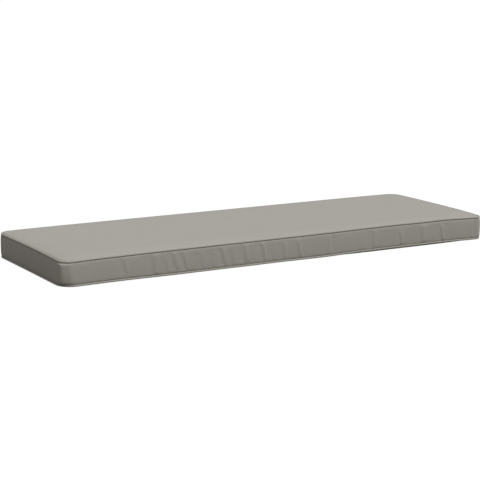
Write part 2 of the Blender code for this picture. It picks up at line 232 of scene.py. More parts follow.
class StudioSettings(bpy.types.PropertyGroup):
    """The camera, the soft light and the floor."""

    place: FloatVectorProperty(
        name="Camera place", description="Where the camera stands", default=(-2.3617, -4.0323, 0.9660),
        subtype="TRANSLATION",
    )
    yaw: angle_setting("Yaw", "Turn to the right of straight back", 30.04)
    pitch: angle_setting("Pitch", "Downward tilt of the view", 11.40)
    roll: angle_setting("Roll", "Turn about the line of sight", 0.32)
    lens: number_setting("Lens", "Focal length in millimetres on a 36 mm sensor", 112.07)
    key_from: FloatVectorProperty(
        name="Key direction", description="Direction towards the key light", default=(0.17, -0.366, 0.69),
        subtype="DIRECTION",
    )
    key_strength: number_setting(
        "Key strength", "Strength of the key light on a face turned to it", 0.846
    )
    key_spread: angle_setting("Key spread", "Angle that the key light fills", 34)
    sky: number_setting("Sky", "Strength of the light from above", 0.450)
    bounce: colour_setting(
        "Bounce", "Tone of the floor in the light that it throws back", (0.202, 0.186, 0.152)
    )
    floor_glow: number_setting("Floor glow", "Light that the floor shows by itself", 0.95)
    floor_shade: number_setting("Floor shade", "Share of the floor's tone that takes shadow", 0.06)


# ---------------------------------------------------------------- plan outline


def radii_at(level):
    """Radii of the plan corners at a level from the lower seam, 0, to the upper, 1."""
    return RADII + (FEET - RADII) * (1 - level) ** FOOT_POWER


class Route:
    """Stations round the cushion: a side, a share of its straight stretch and a corner turn."""

    def __init__(self, sizes, side_steps, corner_steps):
        sides, shares, turns = [], [], []
        for side, steps in enumerate(side_steps):
            sides += [side] * (steps + corner_steps)
            shares += list(np.linspace(-1, 1, steps, endpoint=False)) + [1.0] * corner_steps
            turns += [0.0] * steps + list(np.linspace(0, math.pi / 2, corner_steps, endpoint=False))
        self.sizes = sizes
        self.side = np.array(sides)
        self.share = np.array(shares)
        self.turn = np.array(turns)
        half = np.array([sizes.length / 2, sizes.depth / 2])
        self.half_along = half[self.side % 2]
        self.half_across = half[1 - self.side % 2]

    def outward(self):
        """The outward direction at each station."""
        turn = self.turn[:, None]
        return OUTWARD[self.side] * np.cos(turn) + WALK[self.side] * np.sin(turn)

    def along(self, level=1.0):
        """Distance along the side from its middle, at each station."""
        radii = radii_at(level)
        start = radii[self.side - 1] - self.half_along
        end = self.half_along - radii[self.side]
        return start + (self.share + 1) / 2 * (end - start)

    def points(self, inset, level=1.0):
        """Plan points at an inset, which may differ from station to station."""
        radius = radii_at(level)[self.side]
        pull = self.sizes.pull_in * self.half_along / (self.sizes.length / 2) * (1 - self.share**2)
        across = (self.half_across - radius - pull)[:, None]
        outward = self.outward() * (radius - inset)[:, None]
        return OUTWARD[self.side] * across + WALK[self.side] * self.along(level)[:, None] + outward

    def arc(self, inset, level=1.0):
        """Length walked up to each station and back to the first, at an inset."""
        ring = self.points(inset, level)
        steps = np.linalg.norm(np.roll(ring, -1, axis=0) - ring, axis=1)
        return np.concatenate([[0.0], np.cumsum(steps)])


def front_nearness(sizes, y):
    """How near plan points are to the front, from 1 at its outline down to 0."""
    return np.exp(-(((y + sizes.depth / 2) / SWELL_DEPTH) ** 2))


def swelling(sizes, x, y, swells):
    """Rise of a front seam at plan points, fading away from the front."""
    rise = sum(s.rise * np.exp(-(((x - s.x) / s.reach) ** 2)) for s in swells)
    return front_nearness(sizes, y) * rise


def upper_lift(sizes, x, y):
    """How far the upper seam stands above its even height."""
    distance = np.hypot(sizes.length / 2 - np.abs(x), sizes.depth / 2 - np.abs(y))
    right, back = x / sizes.length + 0.5, y / sizes.depth + 0.5
    droop = 0
    for corner in CORNERS:
        share = (right if corner.right else 1 - right) * (back if corner.back else 1 - back)
        droop = droop + corner.droop * share
    return swelling(sizes, x, y, UPPER_SWELLS) - droop * np.exp(-distance / sizes.droop_reach)


def corner_radii(x, y, radii=RADII):
    """Radius of the plan corner that is nearest to each point."""
    front = np.where(x > 0, radii[0], radii[3])
    back = np.where(x > 0, radii[1], radii[2])
    return np.where(y > 0, back, front)


def lip_share(sizes, x, y):
    """How far the lower piping has ridden up, from 0 to 1."""
    share = np.exp(-np.abs((x - LOWER_LIP.x) / LOWER_LIP.reach) ** LIP_EVENNESS)
    return front_nearness(sizes, y) * share


def lower_lift(sizes, x, y):
    """How far the lower seam stands above its even height."""
    return swelling(sizes, x, y, LOWER_SWELLS) + LOWER_LIP.rise * lip_share(sizes, x, y)


def ripple(place, lengths, seed):
    """A smooth uneven line about 0, from -1 to 1, made of waves of the given lengths."""
    random = np.random.default_rng(seed)
    phases = random.uniform(0, 2 * math.pi, len(lengths))
    waves = [np.sin(2 * math.pi * place / length + phase) for length, phase in zip(lengths, phases)]
    return sum(waves) / len(lengths)


# ---------------------------------------------------------------- mesh helpers


def ring_mesh(name, points, arc, across):
    """A closed tube of any section: points by section row and station, with its own UV map.

    arc is the length walked at each station and back at the first, and across the
    length walked round the section at each row and back at the first.
    """
    rows, stations = points.shape[:2]
    row, station = np.meshgrid(np.arange(rows), np.arange(stations), indexing="ij")
    corners = [(row, station), (row, station + 1), (row + 1, station + 1), (row + 1, station)]
    index = np.stack([(r % rows) * stations + s % stations for r, s in corners], -1)
    mesh = bpy.data.meshes.new(name)
    mesh.from_pydata(points.reshape(-1, 3).tolist(), [], index.reshape(-1, 4).tolist())
    uv = np.stack([np.stack([arc[s], across[r]], -1) for r, s in corners], -2)
    mesh.uv_layers.new(name="Cloth").data.foreach_set("uv", uv.ravel().astype(np.float32))
    return show_mesh(name, mesh)


def add_object(name, data):
    """A new object at the origin of the scene."""
    added = bpy.data.objects.new(name, data)
    bpy.context.scene.collection.objects.link(added)
    return added


def show_mesh(name, mesh):
    """A new object of a smooth-shaded mesh."""
    mesh.shade_smooth()
    mesh.update()
    return add_object(name, mesh)


def section_length(points):
    """Length walked round a section at its first station, and back at its first row."""
    ring = points[:, 0]
    steps = np.linalg.norm(np.roll(ring, -1, axis=0) - ring, axis=1)
    return np.concatenate([[0.0], np.cumsum(steps)])


def vertex_places(mesh):
    """The vertices of a mesh as an array."""
    places = np.empty(len(mesh.vertices) * 3)
    mesh.vertices.foreach_get("co", places)
    return places.reshape(-1, 3)


def place_vertices(mesh, places):
    """Move the vertices of a mesh."""
    mesh.vertices.foreach_set("co", places.ravel())
    mesh.update()


def settle_modifiers(piece):
    """Turn a piece and its modifiers into a plain mesh."""
    evaluated = piece.evaluated_get(bpy.context.evaluated_depsgraph_get())
    plain = bpy.data.meshes.new_from_object(evaluated)
    piece.modifiers.clear()
    piece.data = plain
    plain.name = piece.name
    return piece


def fit_piece(piece, material, slot, *nodes):
    """Give a piece its cloth and stand it for its solids in the frame."""
    piece.data.materials.clear()
    piece.data.materials.append(material)
    if nodes:
        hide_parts(*nodes)
    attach(piece, BODY)


# ---------------------------------------------------------------- filled cushion

# Distance of the panels' edge from the outermost outline, just clear of the piping.
PANEL_INSET = 7.4 * MM
# Mesh lines near a panel's edge, measured from its seam.
EDGE_LINES = np.array([0, 0.35, 0.9, 1.7, 2.8, 4.4, 7, 10.5, 14.5, 19, 25, 32]) * MM
# The rolled edge of the top panel beside the piping: where it starts, how wide, high and
# square it rolls, and the gentler shoulder behind it.
ROLL_FOOT = 74.6 * MM
ROLL_WIDTH = 3.9 * MM
ROLL_HEIGHT = 5.8 * MM
ROLL_SQUARENESS = 2.6
# The roll is wider and softer along the left side and at the front right corner.
LEFT_ROLL_EXTRA = 3.2 * MM
LEFT_ROLL_REACH = 0.020
CORNER_ROLL_EXTRA = 9 * MM
CORNER_ROLL_REACH = 0.034
SHOULDER_RISE = 1.2 * MM
SHOULDER_REACH = 16 * MM
CROWN_REACH = 45 * MM
# The bottom panel rises from the floor to the lower seam over this width.
LOWER_ROLL_WIDTH = 12 * MM
LOWER_ROLL_HEIGHT = 4.4 * MM
# The lip of the bottom panel beneath the lower piping: at these distances from the seam, how
# far it is pushed outwards and how high it stands.
LIP_DISTANCE = np.array([0, 0.35, 0.9, 1.7, 2.8, 4.4, 7, 10.5]) * MM
LIP_PUSH = np.array([0, 0.5, 1.8, 3.9, 5.7, 7.4, 9.0, 9.4]) * MM
LIP_HEIGHT = np.array([7.2, 4.2, 3.5, 3.1, 2.3, 0.8, 0, 0]) * MM
# Inset and height in millimetres of the rows hidden behind the boxing strip, from the top down.
HIDDEN_ROWS = ((8.6, 71.5), (6.6, 62.0), (6.0, 40.0), (6.6, 18.0), (8.6, 8.6))
# Puckers of the panel along its seam: depth, reach and wave lengths.
PUCKER_DEPTH = 0.30 * MM
PUCKER_REACH = 9 * MM
PUCKER_WAVES = (0.013, 0.019, 0.031, 0.047, 0.083)


def panel_halves(sizes):
    """Half the length and half the depth of a panel, from seam to seam."""
    return sizes.length / 2 - PANEL_INSET, sizes.depth / 2 - PANEL_INSET


def grid_lines(half, step):
    """Mesh lines over a panel from side to side, close together near its edges."""
    inner = half - EDGE_LINES[-1]
    even = np.linspace(-inner, inner, 2 * round(inner / step) + 1)
    return np.concatenate([EDGE_LINES - half, even[1:-1], (half - EDGE_LINES)[::-1]])


def round_corners(x, y, half_x, half_y, radius):
    """Bring the corner squares of a grid onto quarter discs of the corner radius."""
    right, back = np.sign(x), np.sign(y)
    p = np.clip((np.abs(x) - (half_x - radius)) / radius, 0, 1)
    q = np.clip((np.abs(y) - (half_y - radius)) / radius, 0, 1)
    corner = (p > 0) & (q > 0)
    round_p = p * np.sqrt(1 - q**2 / 2)
    round_q = q * np.sqrt(1 - p**2 / 2)
    x = np.where(corner, right * (half_x - radius + round_p * radius), x)
    y = np.where(corner, back * (half_y - radius + round_q * radius), y)
    return x, y


def seam_distance(x, y, half_x, half_y, radius):
    """Distance of plan points from the panel's seam."""
    p = np.maximum(np.abs(x) - (half_x - radius), 0)
    q = np.maximum(np.abs(y) - (half_y - radius), 0)
    straight = np.minimum(half_x - np.abs(x), half_y - np.abs(y))
    return np.maximum(np.where((p > 0) & (q > 0), radius - np.hypot(p, q), straight), 0)


def drawn_in(sizes, x, y):
    """Pull the sides of a panel in between its corners, as the outline is."""
    half_x, half_y = sizes.length / 2, sizes.depth / 2
    share_x = np.clip(x / (half_x - CORNER_ZONE), -1, 1)
    share_y = np.clip(y / (half_y - CORNER_ZONE), -1, 1)
    pull_y = sizes.pull_in * (1 - share_x**2)
    pull_x = sizes.pull_in * sizes.depth / sizes.length * (1 - share_y**2)
    return x * (1 - pull_x / half_x), y * (1 - pull_y / half_y)


def quarter_roll(distance, width, height, squareness=2.0):
    """Height of a rolled edge: steep at the seam, level once it is a width away."""
    share = np.clip(distance / width, 0, 1)
    return height * (1 - (1 - share) ** squareness) ** (1 / squareness)


def cushion_mesh(sizes):
    """The filled cushion before it swells: two panels and the hidden wall between them."""
    half_x, half_y = panel_halves(sizes)
    lines_x = grid_lines(half_x, sizes.panel_step)
    lines_y = grid_lines(half_y, sizes.panel_step)
    grid = [a.ravel() for a in np.meshgrid(lines_x, lines_y)]
    top = top_panel(sizes, *grid, half_x, half_y)
    bottom = bottom_panel(sizes, *grid, half_x, half_y)
    columns, rows = len(lines_x), len(lines_y)
    rim = grid_rim(columns, rows)
    high, low = top[rim], bottom[rim]
    middle = (high[:, :2] + low[:, :2]) / 2
    radius = corner_radii(*middle.T) - PANEL_INSET
    outward = rim_outward(*middle.T, half_x, half_y, radius)
    lift = upper_lift(sizes, *middle.T)
    layers = [top]
    for inset, height in HIDDEN_ROWS:
        share = height * MM / sizes.edge_height
        plan = low[:, :2] + share * (high - low)[:, :2] + outward * (PANEL_INSET - inset * MM)
        layers.append(np.column_stack([plan, height * MM + lift * share]))
    layers.append(bottom)
    return np.concatenate(layers), cushion_faces(columns, rows, rim)


def top_panel(sizes, x, y, half_x, half_y):
    """Points of the top panel: a rolled edge beside the piping, a shoulder and the crown."""
    radius = corner_radii(x, y) - PANEL_INSET
    x, y = round_corners(x, y, half_x, half_y, radius)
    distance = seam_distance(x, y, half_x, half_y, radius)
    dome = 1 - np.exp(-(half_x - np.abs(x)) / CROWN_REACH)
    dome *= 1 - np.exp(-(half_y - np.abs(y)) / CROWN_REACH)
    from_corner = np.hypot(half_x - x, half_y + y)
    width = ROLL_WIDTH + LEFT_ROLL_EXTRA * np.exp(-(half_x + x) / LEFT_ROLL_REACH)
    width += CORNER_ROLL_EXTRA * np.exp(-((from_corner / CORNER_ROLL_REACH) ** 2))
    shoulder = SHOULDER_RISE * (1 - np.exp(-np.maximum(distance - width, 0) / SHOULDER_REACH))
    fade = np.exp(-distance / (2 * SHOULDER_REACH))
    top = ROLL_FOOT + quarter_roll(distance, width, ROLL_HEIGHT, ROLL_SQUARENESS) + shoulder
    top += sizes.crown * dome + fade * upper_lift(sizes, x, y)
    return np.column_stack([*drawn_in(sizes, x, y), top])


def bottom_panel(sizes, x, y, half_x, half_y):
    """Points of the bottom panel, flat where it rests and rolled up to the lower seam."""
    radius = corner_radii(x, y, FEET) - PANEL_INSET
    x, y = round_corners(x, y, half_x, half_y, radius)
    distance = seam_distance(x, y, half_x, half_y, radius)
    rise = LOWER_ROLL_HEIGHT - quarter_roll(distance, LOWER_ROLL_WIDTH, LOWER_ROLL_HEIGHT)
    bottom = rise * (1 + lower_lift(sizes, x, y) / LOWER_ROLL_HEIGHT)
    lip = np.sqrt(lip_share(sizes, x, y))
    bottom += lip * (np.interp(distance, LIP_DISTANCE, LIP_HEIGHT) - bottom)
    push = lip * np.interp(distance, LIP_DISTANCE, LIP_PUSH)
    x, y = drawn_in(sizes, x, y)
    return np.column_stack([x, y - push, bottom])


def grid_rim(columns, rows):
    """Indices of a grid's outer points, walked anticlockwise from the front left."""
    index = np.arange(columns * rows).reshape(rows, columns)
    return np.concatenate([index[0, :-1], index[:-1, -1], index[-1, :0:-1], index[:0:-1, 0]])


def rim_outward(x, y, half_x, half_y, radius):
    """Outward directions at the points of a panel's rim."""
    p = np.maximum(np.abs(x) - (half_x - radius), 0) * np.sign(x)
    q = np.maximum(np.abs(y) - (half_y - radius), 0) * np.sign(y)
    size = np.maximum(np.hypot(p, q), TINY)
    return np.stack([p / size, q / size], -1)


def cushion_faces(columns, rows, rim):
    """Faces of the top grid, the hidden wall and the bottom grid, turned outwards."""
    grid = np.arange(columns * rows).reshape(rows, columns)
    quads = np.stack([grid[:-1, :-1], grid[:-1, 1:], grid[1:, 1:], grid[1:, :-1]], -1).reshape(-1, 4)
    size, around = columns * rows, len(rim)
    below = size + len(HIDDEN_ROWS) * around
    loops = [rim]
    loops += [size + level * around + np.arange(around) for level in range(len(HIDDEN_ROWS))]
    loops.append(below + rim)
    faces = [quads, below + quads[:, ::-1]]
    for upper, lower in zip(loops, loops[1:]):
        faces.append(np.stack([upper, lower, np.roll(lower, -1), np.roll(upper, -1)], -1))
    return np.concatenate(faces)


# The cloth simulation of the swelling top panel, which is free above this share of its roll.
FREE_SHARE = 0.8
SIMULATED_FRAMES = 20
FILLING_PRESSURE = 4.0
CLOTH_MASS = 0.25
CLOTH_STIFFNESS = 18.0
CLOTH_BENDING = 1.5


def swell_panel(piece, free, most):
    """Let the filling push the free points out by a cloth simulation, up to a distance."""
    start = vertex_places(piece.data)
    held = piece.vertex_groups.new(name="held")
    held.add([int(i) for i in np.flatnonzero(~free)], 1.0, "REPLACE")
    cloth = piece.modifiers.new("swelling", "CLOTH")
    cloth.settings.vertex_group_mass = held.name
    cloth.settings.mass = CLOTH_MASS
    cloth.settings.tension_stiffness = CLOTH_STIFFNESS
    cloth.settings.compression_stiffness = CLOTH_STIFFNESS
    cloth.settings.bending_stiffness = CLOTH_BENDING
    cloth.settings.use_pressure = True
    cloth.settings.uniform_pressure_force = FILLING_PRESSURE
    cloth.settings.effector_weights.gravity = 0.0
    cloth.point_cache.frame_end = SIMULATED_FRAMES
    for number in range(1, SIMULATED_FRAMES + 1):
        bpy.context.scene.frame_set(number)
    evaluated = piece.evaluated_get(bpy.context.evaluated_depsgraph_get())
    moved = vertex_places(evaluated.data) - start
    bpy.context.scene.frame_set(1)
    piece.modifiers.remove(cloth)
    piece.vertex_groups.remove(held)
    distance = np.linalg.norm(moved, axis=1, keepdims=True)
    capped = most * np.tanh(distance / most) / np.maximum(distance, TINY)
    place_vertices(piece.data, start + moved * capped)


def pucker_panel(piece, sizes):
    """Small puckers where the top panel is sewn to the piping."""
    places = vertex_places(piece.data)
    x, y, height = places.T
    distance = seam_distance(x, y, *panel_halves(sizes), corner_radii(x, y) - PANEL_INSET)
    walked = x - y * np.sign(x * y)
    strength = np.exp(-distance / PUCKER_REACH) * (height > sizes.edge_height / 2)
    strength *= np.clip(distance / ROLL_WIDTH, 0, 1)
    places[:, 2] += PUCKER_DEPTH * ripple(walked, PUCKER_WAVES, SEED) * strength
    place_vertices(piece.data, places)


def map_panel(mesh):
    """Lay the weave over the panels: one metre of cloth for each metre of plan."""
    corner_vertex = np.empty(len(mesh.loops), int)
    mesh.loops.foreach_get("vertex_index", corner_vertex)
    uv = vertex_places(mesh)[corner_vertex, :2]
    mesh.uv_layers.new(name="Cloth").data.foreach_set("uv", uv.ravel().astype(np.float32))


class MakeFilledCushion(bpy.types.Operator):
    """Make the filled cushion with its crowned top panel and flat underside"""

    bl_idname = "cushion.filled_cushion"
    bl_label = "Filled cushion"

    def execute(self, context):
        sizes = context.scene.cushion_sizes
        places, faces = cushion_mesh(sizes)
        mesh = bpy.data.meshes.new("filled_cushion")
        mesh.from_pydata(places.tolist(), [], faces.tolist())
        piece = show_mesh("filled_cushion", mesh)
        free = places[:, 2] > ROLL_FOOT + ROLL_HEIGHT * FREE_SHARE
        swell_panel(piece, free, sizes.swell)
        subdivision = piece.modifiers.new("finer", "SUBSURF")
        subdivision.levels = subdivision.render_levels = 1
        settle_modifiers(piece)
        pucker_panel(piece, sizes)
        map_panel(piece.data)
        piece.data.shade_smooth()
        cloth = woven_cloth("panel_cloth", context.scene, context.scene.cushion_colours.panel)
        fit_piece(piece, cloth, "panel_cloth", "cushion")
        return {"FINISHED"}


# ---------------------------------------------------------------- boxing strip

# How far each of the strip's edges stands from the middle of its piping.
SEAM_SETBACK = 3.3 * MM
# The lower piping, which the cushion's weight presses, is this much thinner.
LOWER_PRESS = 0.3 * MM
# The strip's section: its inset, how far it bulges at its middle, and how far and how late
# it draws in towards the seams.
STRIP_INSET = 0.2 * MM
STRIP_BULGE = 0.6 * MM
STRIP_DRAW_IN = 0.8 * MM
DRAW_POWER = 7
# How far it is tucked in at the seams, and over which share of its height.
STRIP_TUCK = 1.4 * MM
STRIP_TUCK_REACH = 0.014
# How much closer together its rows are at the seams, and its mesh step on the short sides.
ROW_CROWDING = 0.6
SIDE_STRIP_STEP = 7 * MM
CORNER_STEPS = 18
# The flat that the strip makes at a corner: its turn from the side before it, how far it
# stands out from the arc, how sharp the bends before and after it are, and how soon it
# starts from a seam.
FLAT_TURN = 65.0
FLAT_RISE = 0.06
FIRST_SHARPNESS = 12
SECOND_SHARPNESS = 80
FOLD_RISE = 0.03
# Faint unevenness of the strip between its creases, and how far it leans over the height.
STRIP_WAVE_DEPTH = 0.22 * MM
STRIP_WAVE_LEAN = 14 * MM
STRIP_WAVES = (0.021, 0.034, 0.055, 0.089, 0.140)


def strip_shares(rows):
    """Heights of the strip's rows as shares, closer together near its edges."""
    even = np.linspace(0, 1, rows)
    return even - ROW_CROWDING * np.sin(2 * math.pi * even) / (2 * math.pi)


def strip_inset(share):
    """Inset of the strip's outer face: bulged in the middle, tucked under each piping."""
    drawn = STRIP_DRAW_IN * np.abs(2 * share - 1) ** DRAW_POWER - STRIP_BULGE * math.sin(math.pi * share)
    tucked = STRIP_TUCK * (np.exp(-share / STRIP_TUCK_REACH) + np.exp((share - 1) / STRIP_TUCK_REACH))
    return STRIP_INSET + drawn + tucked


def crease_path(crease, share):
    """Where a crease's flank stands along its side at a share of the height."""
    hooked = np.maximum(0, (share - HOOK_START) / (HOOK_END - HOOK_START)) ** 2
    bowed = crease.bow * (1 - (2 * share - 1) ** 2)
    return crease.along + crease.lean * (0.5 - share) + bowed - crease.hook * hooked


def crease_relief(side, along, share):
    """Inward depth of the creases at a place on the strip, negative on a ridge."""
    depth = np.zeros_like(along)
    for crease in CREASES:
        ahead, behind = (crease_path(crease, share + step) for step in (SLOPE_STEP, -SLOPE_STEP))
        steepness = np.hypot(1, (ahead - behind) / (2 * SLOPE_STEP * STRIP_HEIGHT))
        widths = (along - crease_path(crease, share)) / (crease.width * MM * steepness)
        beyond = np.maximum(np.maximum(crease.low - share, share - crease.high), 0)
        strength = np.exp(-((beyond / CREASE_FADE) ** 2)) / steepness
        strength *= np.minimum(1, np.minimum(share, 1 - share) / SEAM_FADE)
        from_trough = widths + RIDGE_OFFSET / 2
        trough = crease.trough * np.exp(-((from_trough / np.where(from_trough < 0, TROUGH_LEAD, 1)) ** 2))
        from_ridge = widths - RIDGE_OFFSET / 2
        ridge = crease.ridge * np.exp(-((from_ridge / np.where(from_ridge > 0, RIDGE_LAG, 1)) ** 2))
        depth += np.where(side == crease.side, (trough - ridge) * strength * MM, 0)
    return depth


def corner_relief(route, share):
    """Inward depth of the strip at the corners, which it rounds with one flat and two bends."""
    before = np.cos(route.turn)
    flat = np.cos(route.turn - math.radians(FLAT_TURN)) / (1 + FLAT_RISE)
    after = (flat**SECOND_SHARPNESS + np.sin(route.turn) ** SECOND_SHARPNESS) ** (1 / SECOND_SHARPNESS)
    reach = (before**FIRST_SHARPNESS + after**FIRST_SHARPNESS) ** (-1 / FIRST_SHARPNESS) - 1
    rise = 1 - np.exp(-np.minimum(share, 1 - share) / FOLD_RISE)
    return -FOLDS[route.side] * reach * RADII[route.side] * rise


def seam_heights(sizes, route):
    """Heights of the strip's lower and upper edges at each station."""
    plan = route.points(sizes.piping_radius, 0.0)
    lower = lower_lift(sizes, *plan.T) - LIP_PINCH * lip_share(sizes, *plan.T)
    upper = upper_lift(sizes, *route.points(sizes.piping_radius, 1.0).T)
    low = sizes.floor_gap + sizes.piping_radius - LOWER_PRESS + SEAM_SETBACK + lower
    high = sizes.edge_height - sizes.piping_radius - SEAM_SETBACK + upper
    return low, high


def boxing_route(sizes):
    """Stations round the strip, closest together on the front, where its creases show."""
    front = round((sizes.length - 2 * CORNER_ZONE) / sizes.strip_step)
    short = round((sizes.depth - 2 * CORNER_ZONE) / SIDE_STRIP_STEP)
    return Route(sizes, (front, short, front // 2, short), CORNER_STEPS)


def boxing_points(sizes, route):
    """Points of the strip by row and station: its outer face going up, its inner face down."""
    low, high = seam_heights(sizes, route)
    walked = route.arc(0.0)[:-1]
    outer, inner = [], []
    for share in strip_shares(sizes.strip_rows):
        even = np.full(len(route.side), share)
        along = route.along(share) + route.turn * RADII[route.side]
        depth = crease_relief(route.side, along, even) + corner_relief(route, even)
        strength = STRIP_WAVE_DEPTH * np.sin(math.pi * share) ** 2
        depth += strength * ripple(walked + STRIP_WAVE_LEAN * share, STRIP_WAVES, SEED)
        inset = strip_inset(share) + depth
        height = low + share * (high - low)
        outer.append(np.column_stack([route.points(inset, share), height]))
        inner.append(np.column_stack([route.points(inset + sizes.cloth_thickness, share), height]))
    return np.stack(outer + inner[::-1])


class MakeBoxing(bpy.types.Operator):
    """Make the boxing strip with its creases"""

    bl_idname = "cushion.boxing_strip"
    bl_label = "Boxing strip"

    def execute(self, context):
        sizes = context.scene.cushion_sizes
        route = boxing_route(sizes)
        points = boxing_points(sizes, route)
        piece = ring_mesh("boxing_strip", points, route.arc(0.0), section_length(points))
        cloth = woven_cloth("boxing_cloth", context.scene, context.scene.cushion_colours.boxing)
        fit_piece(piece, cloth, "boxing_cloth", "boxing")
        girth = float(route.arc(0.0)[-1])
        return {"FINISHED"}


# ---------------------------------------------------------------- piping and stitches

# The pipings: name, the solid that each replaces and whether it is the upper one.
PIPINGS = (("upper_piping", "top_piping", True), ("lower_piping", "bottom_piping", False))
# The mesh step along a piping.
PIPING_STEP = 5 * MM
# Size of the waves in the piping's cover, and how near two points are the same one.
PIPING_WAVE_SIZE = 0.014
WELD = 0.02 * MM
# The rows of stitches: name, which piping they hold, and how far they lie inwards and
# upwards from its middle.
Seam = namedtuple("Seam", "name upper inwards upwards")
SEAMS = (
    Seam("upper_seam_stitches", True, 3.3 * MM, 1.6 * MM),
    Seam("lower_seam_stitches", False, -0.8 * MM, 3.4 * MM),
)
# One stitch: points along it, sides round it, how high it arches and how its size varies.
STITCH_RESOLUTION = 4
STITCH_SIDES = 6
STITCH_ARCH = 0.25 * MM
STITCH_VARIATION = 0.12


def seam_path(context, upper, inwards=0.0, upwards=0.0):
    """A seam's route as a mesh line that ends where it starts, in the middle of the back."""
    sizes = context.scene.cushion_sizes
    long_steps = 2 * round((sizes.length / 2 - CORNER_ZONE) / PIPING_STEP)
    short_steps = round((sizes.depth - 2 * CORNER_ZONE) / PIPING_STEP)
    route = Route(sizes, (long_steps, short_steps, long_steps, short_steps), CORNER_STEPS)
    if upper:
        plan = route.points(sizes.piping_radius + inwards, 1.0)
        height = sizes.edge_height - sizes.piping_radius + upwards + upper_lift(sizes, *plan.T)
    else:
        plan = route.points(sizes.piping_radius - LOWER_PRESS + inwards, 0.0)
        height = sizes.floor_gap + sizes.piping_radius - LOWER_PRESS + upwards + lower_lift(sizes, *plan.T)
    back_middle = long_steps + short_steps + 2 * CORNER_STEPS + long_steps // 2
    places = np.roll(np.column_stack([plan, height]), -back_middle, axis=0)
    places = np.concatenate([places, places[:1]])
    mesh = bpy.data.meshes.new("seam_path")
    steps = [(i, i + 1) for i in range(len(places) - 1)]
    mesh.from_pydata(places.tolist(), steps, [])
    return mesh


def follow_path(name, path, tree, values):
    """The plain mesh that a node tree makes of a path, as a new piece."""
    piece = add_object(name, path)
    modifier = piece.modifiers.new(tree.name, "NODES")
    modifier.node_group = tree
    for item in tree.interface.items_tree:
        if item.in_out == "INPUT" and item.name in values:
            modifier[item.identifier] = values[item.name]
    return settle_modifiers(piece)


def piping_tree():
    """The tree that wraps a path in a slightly uneven covered cord."""
    inputs = {
        "Radius": "Float",
        "Sides": "Int",
        "Wave depth": "Float",
        "Wave size": "Float",
        "Cover": "Material",
    }
    nodes, given = Nodes.for_geometry("covered cord", inputs)
    walked = nodes.add("GeometryNodeSplineParameter").other("Length")
    as_length = {"data_type": "FLOAT", "domain": "POINT"}
    path = nodes.add("GeometryNodeMeshToCurve", {}, {"Mesh": given})
    upright = nodes.add("GeometryNodeSetCurveNormal", {"mode": "Z_UP"}, {"Curve": path})
    upright = nodes.store(upright, "walked", walked, as_length)
    turn = {
        "Resolution": given.other("Sides") + 1,
        "Radius": given.other("Radius"),
        "Sweep Angle": 2 * math.pi,
    }
    section = nodes.add("GeometryNodeCurveArc", {"mode": "RADIUS"}, turn)
    section = nodes.store(section, "turned", walked, as_length)
    cord = nodes.add("GeometryNodeCurveToMesh", {}, {"Curve": upright, "Profile Curve": section})
    laid = nodes.vector(nodes.attribute("walked"), nodes.attribute("turned"))
    cord = nodes.store(cord, "Cloth", laid, {"data_type": "FLOAT2", "domain": "CORNER"})
    cord = nodes.add("GeometryNodeMergeByDistance", {}, {"Geometry": cord, "Distance": WELD})
    place = nodes.add("GeometryNodeInputPosition")
    wave = nodes.noise(place, 1 / given.other("Wave size"), detail=2.0) - 0.5
    wave = wave * given.other("Wave depth")
    normal = nodes.add("GeometryNodeInputNormal")
    offset = nodes.add("ShaderNodeVectorMath", {"operation": "SCALE"}, {0: normal, "Scale": wave})
    cord = nodes.add("GeometryNodeSetPosition", {}, {"Geometry": cord, "Offset": offset})
    return nodes.finished(cord, given.other("Cover"))


def stitch_tree():
    """The tree that sets stitches along a path."""
    inputs = {
        "Pitch": "Float",
        "Length": "Float",
        "Thread radius": "Float",
        "Seed": "Int",
        "Thread": "Material",
    }
    nodes, given = Nodes.for_geometry("seam stitches", inputs)
    path = nodes.add("GeometryNodeMeshToCurve", {}, {"Mesh": given})
    pitch = {"Curve": path, "Length": given.other("Pitch")}
    spaced = nodes.add("GeometryNodeResampleCurve", {"mode": "LENGTH"}, pitch)
    half = given.other("Length") / 2
    arch = {
        "Resolution": STITCH_RESOLUTION,
        "Start": nodes.vector(0 - half, 0.0, -STITCH_ARCH),
        "Middle": nodes.vector(0.0, 0.0, STITCH_ARCH),
        "End": nodes.vector(half, 0.0, -STITCH_ARCH),
    }
    line = nodes.add("GeometryNodeCurveQuadraticBezier", {}, arch)
    round_section = {"Resolution": STITCH_SIDES, "Radius": given.other("Thread radius")}
    section = nodes.add("GeometryNodeCurvePrimitiveCircle", {"mode": "RADIUS"}, round_section)
    closed = {"Curve": line, "Profile Curve": section, "Fill Caps": True}
    stitch = nodes.add("GeometryNodeCurveToMesh", {}, closed)
    tangent = nodes.add("GeometryNodeInputTangent")
    turned = nodes.add("FunctionNodeAlignRotationToVector", {"axis": "X"}, {"Vector": tangent})
    spread = {"Min": 1 - STITCH_VARIATION, "Max": 1 + STITCH_VARIATION, "Seed": given.other("Seed")}
    size = nodes.add("FunctionNodeRandomValue", {"data_type": "FLOAT"}, spread).other(1)
    placed = {"Points": spaced, "Instance": stitch, "Rotation": turned, "Scale": size}
    row = nodes.add("GeometryNodeInstanceOnPoints", {}, placed)
    return nodes.finished(row, given.other("Thread"))


